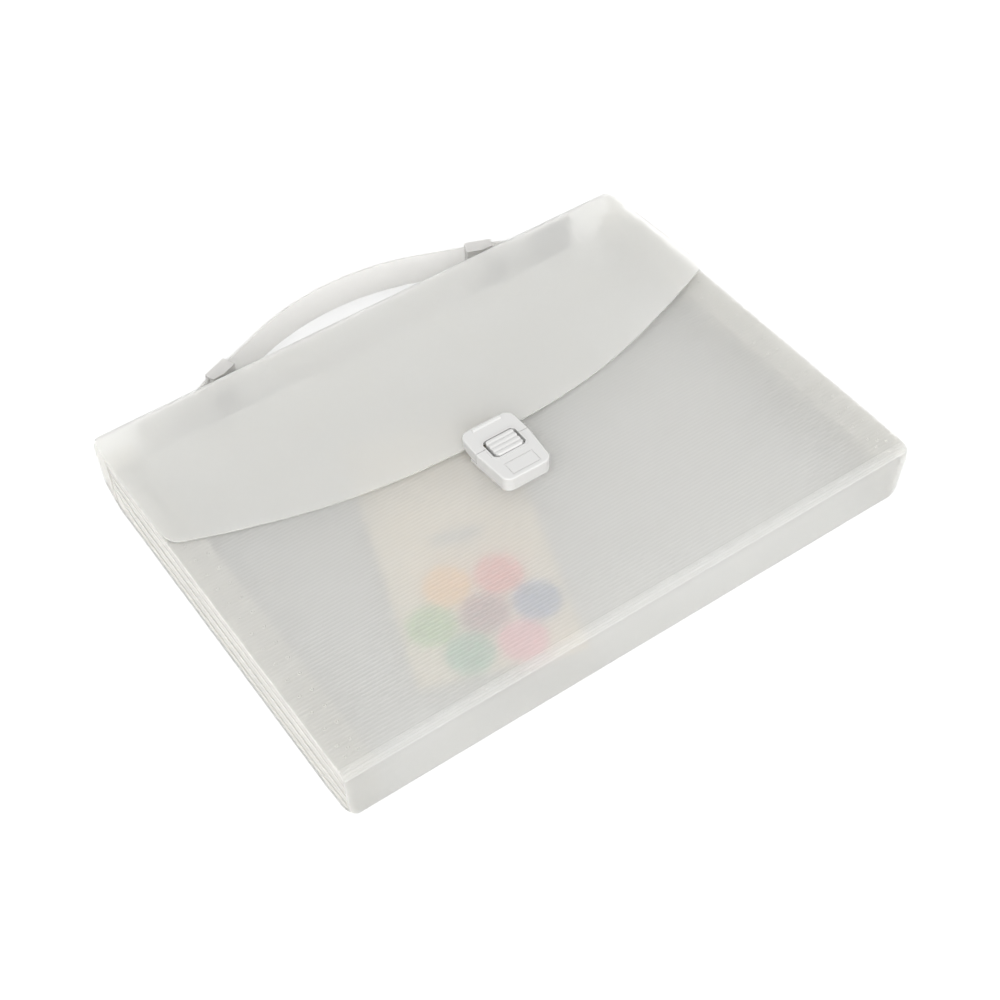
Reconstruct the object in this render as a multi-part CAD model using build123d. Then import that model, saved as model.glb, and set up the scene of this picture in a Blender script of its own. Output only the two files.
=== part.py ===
"""A4 document case in frosted sheet plastic, lying on its back, latch upwards.

The case is one creased cover sheet (back, bottom spine, ribbed front, top spine and
curved flap), pleated side bellows, loose-leaf dividers, a strap handle on the top spine
and a moulded two-part latch with a sprung button. X runs along the long side, Y from the
bottom spine to the handle, Z up from the back panel. All lengths are in millimetres.
"""
from build123d import *
from math import asin
from math import cos
from math import degrees
from math import radians
from math import sin
from math import sqrt
from math import tan
import os

# Cover sheet
case_width = 330.0
case_height = 250.0
case_thickness = 34.0
sheet = 0.8
crease_gap = 0.3
back_corner_radius = 8.0
bottom_bend_radius = 4.5
bottom_spine_inset = 1.5
spine_end_radius = 7.0
bottom_groove_count = 4
groove_depth = 0.25
groove_width = 0.45
top_spine_inset = 2.0
mouth_depth = 28.0
panel_corner_radius = 4.0
panel_rib_pitch = 2.05
panel_rib_depth = 0.2
flap_clearance = 2.2
flap_bend_radius = 6.0
flap_length = 123.0
flap_edge_radius = 403.0
flap_corner_radius = 13.0

# Bellows and dividers
pocket_count = 7
bellows_sheet = 0.3
bellows_fold = 17.0
bellows_edge_inset = 0.4
bellows_short_of_top = 15.0
divider_sheet = 0.3
divider_corner_radius = 6.0
divider_bottom_gap = 1.2
divider_side_gap = 0.3

# Card that lies in one pocket
card_width = 82.0
card_length = 160.0
card_thickness = 0.4
card_turn = -18.5
card_centre_x = -44.5
card_corner_gap = 1.3
card_pocket = 5

# Strap handle: flat tabs on the top spine, a straight stretch through each clip, an arch between
strap_thickness = 1.2
strap_width = 19.4
strap_height_on_spine = 16.3
strap_tab_end_x = 116.0
strap_tab_length = 6.0
strap_tab_bend_radius = 6.0
strap_knee_x = 94.0
strap_knee_radius = 30.0
strap_slope = 22.0
strap_clip_rise = 14.6
strap_clip_x = 81.3
strap_peak_rise = 36.6

# End clips that hold the strap, and their fixings through the top spine
clip_inner_end = 4.5
clip_outer_end = 11.0
clip_taper_start = 4.5
clip_wall = 1.1
clip_outer_wall = 1.3
clip_clearance = 0.15
clip_inner_depth = 6.1
clip_outer_depth = 4.0
clip_post_x = 87.5
clip_post_radius = 2.6
clip_pin_radius = 2.0
pin_clearance = 0.1
retainer_radius = 6.5
retainer_thickness = 1.5

# Latch
latch_half_width = 15.9
latch_lower_half_width = 13.8
latch_upper_half_width = 15.2
latch_housing_length = 24.0
hasp_below_flap_edge = 10.5
hasp_above_flap_edge = 6.0
latch_parting_gap = 0.3
latch_height = 8.4
latch_wall = 1.4
latch_corner_radius = 5.0
latch_edge_radius = 0.8
latch_base_thickness = 1.4
latch_base_tongue = 5.0
latch_seat_gap = 0.4
well_half_width = 9.75
well_length = 13.1
well_centre_below_parting = 1.7
well_corner_chamfer = 1.8
well_rim_width = 0.9
well_rim_height = 0.4
well_wall_depth = 2.2
button_half_width = 8.1
button_length = 12.2
button_corner_chamfer = 1.5
button_rise = 1.0
button_rib_count = 4
button_rib_height = 0.7
button_rib_foot_share = 0.92
button_rib_crest_share = 0.4
button_flange_width = 2.5
button_flange_thickness = 1.2
button_flange_clearance = 0.3
button_travel = 1.2
button_wing_thickness = 1.0
button_stem_inset = 1.0
label_width = 17.0
label_length = 8.5
label_centre_above_bottom = 6.5
label_groove = 0.6
label_depth = 0.3
grip_rib_width = 17.0
grip_rib_length = 2.4
grip_rib_height = 0.8
grip_slope_share = 0.3
grip_crest_share = 0.55
stud_radius = 1.3
stud_clearance = 0.1
boss_wall = 1.0
low_stud_from_side = 5.3
low_stud_from_end = 4.6
high_stud_from_side = 4.9
high_stud_from_end = 11.6
housing_stud_below_top = 4.2
hasp_stud_x = 8.0
hasp_stud_from_end = 4.6
hasp_stud_below_top = 2.8
backing_thickness = 1.2
hasp_backing_overhang = 3.5
hasp_backing_half_length = 3.0
hasp_backing_corner = 2.0
leg_inner_x = 11.2
leg_thickness = 1.2
leg_length = 2.4
barb_depth = 0.45
barb_height = 0.8
barb_clearance = 0.2
post_thickness = 0.8
post_ledge = 0.3
spring_sheet = 0.35
spring_half_span = 7.0
spring_width = 6.0
spring_clearance = 0.1

# Heights and places that follow from the sizes above
flap_edge_y = case_height - flap_length
latch_parting_y = flap_edge_y - hasp_below_flap_edge
latch_bottom_y = latch_parting_y - latch_housing_length
latch_top_y = flap_edge_y + hasp_above_flap_edge
well_centre_y = latch_parting_y - well_centre_below_parting
label_centre_y = latch_bottom_y + label_centre_above_bottom
back_top = sheet
panel_top = case_thickness
panel_underside = panel_top - sheet
panel_edge_y = case_height - mouth_depth
flap_underside = panel_top + flap_clearance
flap_top = flap_underside + sheet
bottom_axis_y = bottom_bend_radius
bottom_axis_z = panel_top - sheet / 2
lid_axis_y = case_height - sheet / 2
lid_axis_z = sheet / 2
flap_axis_z = flap_top - flap_bend_radius
pocket_pitch = (panel_underside - back_top) / pocket_count
divider_half_width = case_width / 2 - bellows_fold - divider_side_gap
latch_z = panel_top
latch_base_top = latch_z + latch_base_thickness
latch_top = latch_z + latch_height
handle_outer_y = case_height + strap_peak_rise + strap_thickness / 2
depth = handle_outer_y


def divider_z(number):
    """Middle height of a divider, counted from the back panel."""
    return back_top + number * pocket_pitch


def slab(outline, low, high):
    """A flat piece from its plan outline, between two heights."""
    return extrude(Pos(0, 0, low) * outline, high - low)


def along_width(profile, width):
    """A piece of one section in Y and Z, centred on X = 0."""
    return extrude(Plane.YZ * profile, width / 2, both=True)


def rectangle(x_low, x_high, y_low, y_high):
    centre = Pos((x_low + x_high) / 2, (y_low + y_high) / 2)
    return centre * Rectangle(x_high - x_low, y_high - y_low)


def block(x_range, y_range, z_range):
    return slab(rectangle(*x_range, *y_range), *z_range)


def rounded(outline, corners, radius):
    """Round the corners of an outline that lie nearest to the given points."""
    chosen = [outline.vertices().sort_by_distance(corner)[0] for corner in corners]
    return fillet(chosen, radius)


def disc(x, y, radius):
    return Pos(x, y) * Circle(radius)


def crease_bead():
    """Round edge of a sheet that turns about its crease, as a section."""
    return Circle(sheet / 2)


# Cover sheet


def make_back_panel():
    edge_y = lid_axis_y - sheet / 2 - crease_gap
    half = case_width / 2
    outline = rectangle(-half, half, 0, edge_y)
    return slab(fillet(outline.vertices(), back_corner_radius), 0, back_top)


def round_lower_ends(spine, half, y_range):
    """Round the two lower corners of an upright spine, seen along Y."""
    outline = rectangle(-half, half, 0, panel_top)
    outline = rounded(outline, [(-half, 0, 0), (half, 0, 0)], spine_end_radius)
    keep = extrude(Plane.XZ.offset(-y_range[1]) * outline, y_range[1] - y_range[0])
    return spine & keep


def make_bottom_spine():
    """Upright spine and the grooved bend at its top that carries the front panel."""
    bend_z = panel_top - bottom_bend_radius
    outer = bottom_bend_radius
    inner = bottom_bend_radius - sheet
    end_y_gap = sheet / 2 + crease_gap
    end_angle = 90 + degrees(asin(end_y_gap / inner))
    upright = rectangle(0, sheet, back_top, bend_z)
    ring = Pos(outer, bend_z) * (Circle(outer) - Circle(inner))
    reach = 2 * outer
    wedge = make_face(
        Polyline(
            (outer, bend_z),
            (outer - reach, bend_z),
            (outer - reach, bend_z + reach),
            (outer + reach * cos(radians(end_angle)), bend_z + reach * sin(radians(end_angle))),
            close=True,
        )
    )
    profile = upright + (ring & wedge)
    spacing = (180 - end_angle) / (bottom_groove_count + 1)
    for number in range(bottom_groove_count):
        angle = radians(end_angle + spacing * (number + 1))
        groove = Pos(outer + outer * cos(angle), bend_z + outer * sin(angle)) * Rot(0, 0, degrees(angle))
        profile -= groove * Rectangle(2 * groove_depth, groove_width)
    half = case_width / 2 - bottom_spine_inset
    return round_lower_ends(along_width(profile, 2 * half), half, (0, 2 * outer))


def panel_profile():
    """Section of the front panel with its fine ribs."""
    half_groove = groove_width / 2
    points = [(bottom_axis_y, panel_underside), (panel_edge_y, panel_underside), (panel_edge_y, panel_top)]
    first_y = bottom_axis_y + 2 * panel_rib_pitch
    rib_total = int((panel_edge_y - panel_rib_pitch - first_y) / panel_rib_pitch)
    for number in range(rib_total, -1, -1):
        y = first_y + number * panel_rib_pitch
        points.append((y + half_groove, panel_top))
        points.append((y, panel_top - panel_rib_depth))
        points.append((y - half_groove, panel_top))
    points.append((bottom_axis_y, panel_top))
    return make_face(Polyline(*points, close=True))


def latch_stud_places():
    return [
        (-latch_lower_half_width + low_stud_from_side, latch_bottom_y + low_stud_from_end),
        (latch_lower_half_width - low_stud_from_side, latch_bottom_y + low_stud_from_end),
        (-latch_half_width + high_stud_from_side, latch_bottom_y + high_stud_from_end),
        (latch_half_width - high_stud_from_side, latch_bottom_y + high_stud_from_end),
    ]


def make_front_panel():
    """Ribbed front panel, which turns about the bend at its lower edge."""
    bead = Pos(bottom_axis_y, bottom_axis_z) * crease_bead()
    panel = along_width(panel_profile() + bead, case_width)
    half = case_width / 2
    outline = rectangle(-half, half, bottom_axis_y - sheet, panel_edge_y)
    outline = rounded(outline, [(-half, panel_edge_y, 0), (half, panel_edge_y, 0)], panel_corner_radius)
    panel = panel & slab(outline, panel_underside - sheet, panel_top + sheet)
    for x, y in latch_stud_places():
        panel -= slab(disc(x, y, stud_radius + stud_clearance), panel_underside - sheet, panel_top + sheet)
    return panel


def make_top_spine():
    """Upright spine that carries the handle, with a crease at each long edge."""
    top_edge = flap_axis_z - sheet / 2 - crease_gap
    profile = rectangle(case_height - sheet, case_height, lid_axis_z, top_edge)
    profile += Pos(lid_axis_y, lid_axis_z) * crease_bead()
    half = case_width / 2 - top_spine_inset
    spine = round_lower_ends(along_width(profile, 2 * half), half, (lid_axis_y - sheet, case_height))
    for side in (-1, 1):
        hole = Cylinder(clip_pin_radius + pin_clearance, 4 * sheet, rotation=(90, 0, 0))
        spine -= Pos(side * clip_post_x, lid_axis_y, strap_height_on_spine) * hole
    return spine


def hasp_stud_places():
    y = latch_top_y - hasp_stud_from_end
    return [(-hasp_stud_x, y), (hasp_stud_x, y)]


def flap_outline():
    half = case_width / 2
    side_y = flap_edge_y + flap_edge_radius - sqrt(flap_edge_radius**2 - half**2)
    bend_y = case_height - flap_bend_radius
    curve = ThreePointArc((-half, side_y), (0, flap_edge_y), (half, side_y))
    sides = Polyline((half, side_y), (half, bend_y), (-half, bend_y), (-half, side_y))
    outline = make_face([curve, sides])
    return rounded(outline, [(-half, side_y, 0), (half, side_y, 0)], flap_corner_radius)


def make_flap():
    """Flap with a curved lower edge and the round bend over the top of the case."""
    bend_y = case_height - flap_bend_radius
    ring = Circle(flap_bend_radius) - Circle(flap_bend_radius - sheet)
    quarter = ring & rectangle(0, flap_bend_radius, 0, flap_bend_radius)
    profile = Pos(bend_y, flap_axis_z) * quarter
    profile += Pos(lid_axis_y, flap_axis_z) * crease_bead()
    flap = slab(flap_outline(), flap_underside, flap_top) + along_width(profile, case_width)
    for x, y in hasp_stud_places():
        flap -= slab(disc(x, y, stud_radius + stud_clearance), flap_underside - sheet, flap_top + sheet)
    return flap


# Bellows, dividers and card


def bellows_chain():
    """Fold line of one bellows seen from the end, from the back flange to the front flange."""
    outer = case_width / 2 - bellows_edge_inset
    inner = case_width / 2 - bellows_fold
    back = back_top + bellows_sheet / 2
    front = panel_underside - bellows_sheet / 2
    chain = [(inner, back), (outer, back)]
    for number in range(1, pocket_count):
        chain.append((inner, divider_z(number)))
        if number < pocket_count - 1:
            chain.append((outer, (divider_z(number) + divider_z(number + 1)) / 2))
    chain.append((outer, front))
    chain.append((inner, front))
    return chain


def make_bellows(side):
    """Pleated side wall: flat leaves that meet at their folds, seen along Y."""
    chain = bellows_chain()
    half = bellows_sheet / 2
    section = Sketch()
    for start, end in zip(chain[:-1], chain[1:]):
        leaf = Polyline(
            (side * start[0], start[1] - half),
            (side * end[0], end[1] - half),
            (side * end[0], end[1] + half),
            (side * start[0], start[1] + half),
            close=True,
        )
        section += make_face(leaf)
    low_y = bottom_axis_y + divider_side_gap
    high_y = case_height - bellows_short_of_top
    return extrude(Plane.XZ.offset(-high_y) * section, high_y - low_y)


def make_divider(number):
    half = divider_half_width
    outline = rectangle(-half, half, sheet + divider_bottom_gap, panel_edge_y)
    corners = [(-half, panel_edge_y, 0), (half, panel_edge_y, 0)]
    outline = rounded(outline, corners, divider_corner_radius)
    middle = divider_z(number)
    return slab(outline, middle - divider_sheet / 2, middle + divider_sheet / 2)


def make_card():
    """Loose printed card that lies on the divider below its pocket."""
    low = divider_z(card_pocket - 1) + divider_sheet / 2
    turn = radians(abs(card_turn))
    centre_y = sheet + card_corner_gap + (card_length * cos(turn) + card_width * sin(turn)) / 2
    outline = Pos(card_centre_x, centre_y) * Rot(0, 0, card_turn) * Rectangle(card_width, card_length)
    return slab(outline, low, low + card_thickness)


# Handle


def strap_rise(x):
    """Rise of the strap's straight stretch over the spine, at a distance from the middle."""
    return strap_clip_rise - tan(radians(strap_slope)) * (x - strap_clip_x)


def make_strap():
    apex = strap_rise(0)
    arch_radius = (apex - strap_peak_rise) / (1 / cos(radians(strap_slope)) - 1)
    half_line = [
        (-strap_tab_end_x, strap_thickness / 2),
        (-strap_tab_end_x + strap_tab_length, strap_thickness / 2),
        (-strap_knee_x, strap_rise(strap_knee_x)),
    ]
    mirrored = [(-x, y) for x, y in reversed(half_line)]
    radii = [strap_tab_bend_radius, strap_knee_radius]
    path = FilletPolyline(*half_line, (0, apex), *mirrored, radius=radii + [arch_radius] + radii[::-1])
    low = strap_height_on_spine - strap_width / 2
    return slab(Pos(0, case_height) * trace(path, strap_thickness), low, low + strap_width)


def clip_frame(side):
    """Place on the strap's straight stretch, turned along the strap."""
    return Pos(side * strap_clip_x, case_height + strap_clip_rise) * Rot(0, 0, -side * strap_slope)


def make_clip(side):
    """Moulded sleeve round the strap with a post and pin into the top spine."""
    cover = strap_thickness / 2 + clip_clearance + clip_outer_wall
    sleeve_plan = make_face(
        Polyline(
            (-side * clip_inner_end, cover),
            (side * clip_outer_end, cover),
            (side * clip_outer_end, -clip_outer_depth),
            (side * clip_taper_start, -clip_inner_depth),
            (-side * clip_inner_end, -clip_inner_depth),
            close=True,
        )
    )
    reach = strap_width / 2 + clip_clearance + clip_wall
    low = strap_height_on_spine - reach
    high = strap_height_on_spine + reach
    sleeve = slab(clip_frame(side) * sleeve_plan, low, high)
    sleeve = fillet(sleeve.edges().filter_by(Axis.Z), clip_wall / 2)
    slot_half = strap_thickness / 2 + clip_clearance
    slot = rectangle(-2 * clip_outer_end, 2 * clip_outer_end, -slot_half, slot_half)
    sleeve -= slab(clip_frame(side) * slot, low + clip_wall, high - clip_wall)
    strap_inside = strap_rise(clip_post_x) - slot_half / cos(radians(strap_slope))
    post_top = case_height + strap_inside - clip_wall
    post = Cylinder(clip_post_radius, post_top - case_height, rotation=(90, 0, 0))
    clip = sleeve + Pos(side * clip_post_x, (post_top + case_height) / 2, strap_height_on_spine) * post
    pin_end = case_height - sheet - retainer_thickness
    pin = Cylinder(clip_pin_radius, case_height - pin_end, rotation=(90, 0, 0))
    return clip + Pos(side * clip_post_x, (pin_end + case_height) / 2, strap_height_on_spine) * pin


def make_retainer(side):
    """Round push-on washer behind the top spine that holds a clip's pin."""
    ring = Cylinder(retainer_radius, retainer_thickness, rotation=(90, 0, 0))
    bore = Cylinder(clip_pin_radius + pin_clearance / 4, 2 * retainer_thickness, rotation=(90, 0, 0))
    middle_y = case_height - sheet - retainer_thickness / 2
    return Pos(side * clip_post_x, middle_y, strap_height_on_spine) * (ring - bore)


# Latch


def half_width_at(y):
    """Half width of the tapering latch housing at a place along it."""
    share = (y - latch_bottom_y) / (latch_parting_y - latch_bottom_y)
    return latch_lower_half_width + share * (latch_half_width - latch_lower_half_width)


def housing_outline(inset, top_y):
    low_y = latch_bottom_y + inset
    low_half = half_width_at(low_y) - inset
    mid_half = latch_half_width - inset
    right = [(low_half, low_y), (mid_half, min(top_y, latch_parting_y))]
    if top_y > latch_parting_y:
        right.append((mid_half, top_y))
    left = [(-x, y) for x, y in reversed(right)]
    outline = make_face(Polyline(*right, *left, close=True))
    corners = [(-low_half, low_y, 0), (low_half, low_y, 0)]
    return rounded(outline, corners, latch_corner_radius - inset)


def hasp_outline(inset):
    low_y = latch_parting_y + latch_parting_gap + inset
    high_y = latch_top_y - inset
    low_half = latch_half_width - inset
    high_half = latch_upper_half_width - inset
    outline = make_face(
        Polyline(
            (-low_half, low_y),
            (low_half, low_y),
            (high_half, high_y),
            (-high_half, high_y),
            close=True,
        )
    )
    corners = [(-high_half, high_y, 0), (high_half, high_y, 0)]
    return rounded(outline, corners, latch_corner_radius - inset)


def well_outline(grow):
    """Opening round the button, shared by the housing and the hasp."""
    opening = Pos(0, well_centre_y) * Rectangle(2 * (well_half_width + grow), well_length + 2 * grow)
    return chamfer(opening.vertices(), well_corner_chamfer + grow / 2)


def make_latch_base():
    """Flat plate between the front panel and the housing, with the catch posts."""
    tongue_y = latch_parting_y + latch_base_tongue
    base = slab(housing_outline(0, tongue_y), latch_z, latch_base_top)
    for x, y in latch_stud_places():
        base -= slab(disc(x, y, stud_radius + stud_clearance), latch_z - sheet, latch_base_top + sheet)
    inner = leg_inner_x + leg_thickness + barb_depth + barb_clearance
    ledge_low = leg_bottom() + barb_height + latch_seat_gap
    ledge_high = ledge_low + barb_height
    y_range = (leg_start_y(), leg_start_y() + leg_length)
    for side in (-1, 1):
        face_x = sorted((side * (inner + post_ledge), side * (inner + post_ledge + post_thickness)))
        ledge_x = sorted((side * inner, side * (inner + post_ledge)))
        base += block(face_x, y_range, (latch_base_top, ledge_high))
        base += block(ledge_x, y_range, (ledge_low, ledge_high))
    return base


def leg_start_y():
    return latch_parting_y + latch_parting_gap + latch_wall + crease_gap


def leg_bottom():
    return latch_base_top + latch_seat_gap


def make_latch_housing():
    """Lower latch half: a shell on the front panel with the lower part of the button's well."""
    body = slab(housing_outline(0, latch_parting_y), latch_base_top, latch_top)
    top_edges = body.edges().group_by(Axis.Z)[-1]
    rim = top_edges.filter_by(lambda edge: edge.center().Y < latch_parting_y - latch_wall)
    body = fillet(rim, latch_edge_radius)
    cavity_top = latch_top - latch_wall
    body -= slab(housing_outline(latch_wall, latch_parting_y - latch_wall), latch_base_top, cavity_top)
    keep = rectangle(-case_width, case_width, 0, latch_parting_y)
    wall_low = latch_top - well_wall_depth
    body += slab(well_outline(well_rim_width) & keep, wall_low, latch_top + well_rim_height)
    body -= slab(well_outline(0), latch_base_top, latch_top + latch_height)
    flange_half = button_half_width + button_flange_width
    pass_half = flange_half + button_flange_clearance
    through = (latch_parting_y - 2 * latch_wall, latch_parting_y + latch_wall)
    body -= block((-pass_half, pass_half), through, (latch_base_top, wall_low))
    for x, y in latch_stud_places():
        boss = disc(x, y, stud_radius + stud_clearance + boss_wall)
        body += slab(boss, latch_base_top, cavity_top)
        body -= slab(disc(x, y, stud_radius + stud_clearance), latch_base_top, cavity_top - latch_wall)
    label = Pos(0, label_centre_y) * Rectangle(label_width, label_length)
    island_size = (label_width - 2 * label_groove, label_length - 2 * label_groove)
    island = Pos(0, label_centre_y) * Rectangle(*island_size)
    return body - slab(label - island, latch_top - label_depth, latch_top + latch_height)


def make_latch_backing():
    """Plate behind the front panel, with the studs that hold base and housing."""
    inset = latch_wall
    outline = housing_outline(inset, latch_parting_y - inset)
    plate = slab(outline, panel_underside - backing_thickness, panel_underside)
    stud_top = latch_top - housing_stud_below_top
    for x, y in latch_stud_places():
        plate += slab(disc(x, y, stud_radius), panel_underside, stud_top)
    return plate


def flange_top():
    return latch_top - well_wall_depth - button_flange_clearance


def flange_bottom():
    return flange_top() - button_flange_thickness


def make_latch_button():
    """Ribbed push button with its retaining flange and the wings that press the hasp's legs."""
    pad = Pos(0, well_centre_y) * Rectangle(2 * button_half_width, button_length)
    pad = chamfer(pad.vertices(), button_corner_chamfer)
    crest = latch_top + button_rise
    valley = crest - button_rib_height
    button = slab(pad, flange_bottom(), valley)
    rib_pitch = button_length / button_rib_count
    low_y = well_centre_y - button_length / 2
    ribs = Sketch()
    for number in range(button_rib_count):
        middle = low_y + rib_pitch * (number + 0.5)
        rib = Polyline(
            (middle - rib_pitch * button_rib_foot_share / 2, valley),
            (middle - rib_pitch * button_rib_crest_share / 2, crest),
            (middle + rib_pitch * button_rib_crest_share / 2, crest),
            (middle + rib_pitch * button_rib_foot_share / 2, valley),
            close=True,
        )
        ribs += make_face(rib)
    ribs = along_width(ribs, 2 * button_half_width) & slab(pad, flange_bottom(), crest)
    button += ribs
    flange_half = button_half_width + button_flange_width
    flange_low_y = low_y - latch_wall
    flange_high_y = latch_parting_y - latch_parting_gap
    flange = (flange_low_y, flange_high_y)
    button += block((-flange_half, flange_half), flange, (flange_bottom(), flange_top()))
    wing_half = leg_inner_x - button_flange_clearance
    wing_low = leg_bottom() + button_travel - latch_seat_gap / 2
    wing_end_y = well_centre_y + button_length / 2 - button_flange_clearance
    wing_y = (leg_start_y() + button_flange_clearance, wing_end_y)
    button += block((-wing_half, wing_half), wing_y, (wing_low, wing_low + button_wing_thickness))
    stem_half = button_half_width - button_corner_chamfer - button_stem_inset
    return button + block((-stem_half, stem_half), wing_y, (wing_low, flange_bottom()))


def make_latch_spring():
    """Arched leaf spring between the base and the button."""
    low = latch_base_top
    high = flange_bottom() - spring_clearance
    outer = ThreePointArc((-spring_half_span, low), (0, high), (spring_half_span, low))
    inner_half = spring_half_span - 2 * spring_sheet
    inner = ThreePointArc((inner_half, low), (0, high - spring_sheet), (-inner_half, low))
    left_foot = Line((-inner_half, low), (-spring_half_span, low))
    right_foot = Line((spring_half_span, low), (inner_half, low))
    leaf = make_face([outer, right_foot, inner, left_foot])
    low_y = well_centre_y - button_length / 2
    return extrude(Plane.XZ.offset(-(low_y + spring_width)) * leaf, spring_width)


def make_latch_hasp():
    """Upper latch half on the flap, with the upper part of the well and two barbed legs."""
    body = slab(hasp_outline(0), flap_top, latch_top)
    top_edges = body.edges().group_by(Axis.Z)[-1]
    rim = top_edges.filter_by(lambda edge: edge.center().Y > latch_parting_y + latch_wall)
    body = fillet(rim, latch_edge_radius)
    below = hasp_outline(0) & rectangle(-case_width, case_width, 0, flap_edge_y)
    body += slab(below, leg_bottom(), flap_top)
    cavity_top = latch_top - latch_wall
    body -= slab(hasp_outline(latch_wall), leg_bottom(), cavity_top)
    keep = rectangle(-case_width, case_width, latch_parting_y + latch_parting_gap, case_height)
    wall_low = latch_top - well_wall_depth
    body += slab(well_outline(well_rim_width) & keep, wall_low, latch_top + well_rim_height)
    body -= slab(well_outline(0), leg_bottom(), latch_top + latch_height)
    grip_y = latch_top_y - latch_edge_radius
    slope_y = grip_y - grip_rib_length * (1 - grip_slope_share)
    grip = Polyline(
        (grip_y - grip_rib_length, latch_top - latch_edge_radius),
        (grip_y - grip_rib_length, latch_top),
        (slope_y, latch_top + grip_rib_height),
        (slope_y + grip_rib_length * grip_crest_share, latch_top + grip_rib_height),
        (grip_y + latch_edge_radius, latch_top - latch_edge_radius),
        close=True,
    )
    body += along_width(make_face(grip), grip_rib_width)
    for x, y in hasp_stud_places():
        boss = disc(x, y, stud_radius + stud_clearance + boss_wall)
        body += slab(boss, flap_top, cavity_top)
        body -= slab(disc(x, y, stud_radius + stud_clearance), flap_top, cavity_top - latch_wall / 2)
    leg_y = (leg_start_y(), leg_start_y() + leg_length)
    for side in (-1, 1):
        leg_x = sorted((side * leg_inner_x, side * (leg_inner_x + leg_thickness)))
        barb_x = sorted((side * leg_inner_x, side * (leg_inner_x + leg_thickness + barb_depth)))
        body += block(leg_x, leg_y, (leg_bottom(), cavity_top))
        body += block(barb_x, leg_y, (leg_bottom(), leg_bottom() + barb_height))
    return body


def make_hasp_backing():
    """Plate under the flap, with the two studs that hold the hasp."""
    reach = hasp_stud_x + hasp_backing_overhang
    middle_y = latch_top_y - hasp_stud_from_end
    y_range = (middle_y - hasp_backing_half_length, middle_y + hasp_backing_half_length)
    outline = rectangle(-reach, reach, *y_range)
    outline = chamfer(outline.vertices(), hasp_backing_corner)
    plate = slab(outline, flap_underside - backing_thickness, flap_underside)
    for x, y in hasp_stud_places():
        plate += slab(disc(x, y, stud_radius), flap_underside, latch_top - hasp_stud_below_top)
    return plate


pieces = {
    "back_panel": make_back_panel(),
    "bottom_spine": make_bottom_spine(),
    "front_panel": make_front_panel(),
    "top_spine": make_top_spine(),
    "flap": make_flap(),
    "bellows_left": make_bellows(-1),
    "bellows_right": make_bellows(1),
    "printed_card": make_card(),
    "handle_strap": make_strap(),
    "handle_clip_left": make_clip(-1),
    "handle_clip_right": make_clip(1),
    "handle_retainer_left": make_retainer(-1),
    "handle_retainer_right": make_retainer(1),
    "latch_base": make_latch_base(),
    "latch_housing": make_latch_housing(),
    "latch_backing": make_latch_backing(),
    "latch_button": make_latch_button(),
    "latch_spring": make_latch_spring(),
    "latch_hasp": make_latch_hasp(),
    "hasp_backing": make_hasp_backing(),
}
for divider_number in range(1, pocket_count):
    pieces[f"divider_{divider_number}"] = make_divider(divider_number)

# The frame's origin is under the middle of the whole part, handle included.
to_frame = Pos(0, -depth / 2, 0)
os.makedirs("parts", exist_ok=True)
for name, piece in pieces.items():
    export_step(to_frame * piece, f"parts/{name}.step")
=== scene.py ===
"""Looks of a frosted sheet-plastic document case that lies on its back.

Lengths are in metres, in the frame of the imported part: X along the long side, Y from the
bottom spine to the handle, Z up from the back panel.
"""

import bmesh
import bpy
from math import asin
from math import cos
from math import pi
from math import radians
from math import sin
from math import sqrt
from mathutils import Matrix
from mathutils import Vector


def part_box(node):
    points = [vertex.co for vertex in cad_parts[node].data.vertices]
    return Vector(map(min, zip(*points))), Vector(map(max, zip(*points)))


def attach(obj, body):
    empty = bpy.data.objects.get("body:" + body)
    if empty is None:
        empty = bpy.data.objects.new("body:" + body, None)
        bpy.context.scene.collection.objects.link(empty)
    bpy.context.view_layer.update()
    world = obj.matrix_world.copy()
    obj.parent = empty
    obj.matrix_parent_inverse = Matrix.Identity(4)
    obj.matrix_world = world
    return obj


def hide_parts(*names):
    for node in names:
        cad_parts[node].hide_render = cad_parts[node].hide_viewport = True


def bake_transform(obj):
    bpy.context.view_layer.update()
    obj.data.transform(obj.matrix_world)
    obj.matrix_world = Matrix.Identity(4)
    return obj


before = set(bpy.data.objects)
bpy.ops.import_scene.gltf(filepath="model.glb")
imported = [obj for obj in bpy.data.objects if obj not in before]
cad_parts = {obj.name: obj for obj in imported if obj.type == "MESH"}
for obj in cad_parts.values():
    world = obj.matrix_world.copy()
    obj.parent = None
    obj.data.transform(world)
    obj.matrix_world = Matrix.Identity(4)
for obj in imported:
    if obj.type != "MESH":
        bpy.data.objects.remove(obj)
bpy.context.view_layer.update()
bpy.ops.object.select_all(action="DESELECT")

# Places taken from the solids
BOTTOM_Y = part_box("bottom_spine")[0].y
TOP_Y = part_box("top_spine")[1].y
HALF_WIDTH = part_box("back_panel")[1].x
PANEL_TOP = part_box("front_panel")[1].z
PANEL_EDGE_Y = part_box("front_panel")[1].y
FLAP_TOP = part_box("flap")[1].z
FLAP_EDGE_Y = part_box("flap")[0].y
WALL_OUTER_X = -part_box("bellows_left")[0].x
WALL_INNER_X = -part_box("bellows_left")[1].x
CARD_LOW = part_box("printed_card")[0]
CARD_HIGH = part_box("printed_card")[1]

# Reaches in which two places count as the same
TINY = 0.00001
CLOSE = 0.00002

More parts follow.
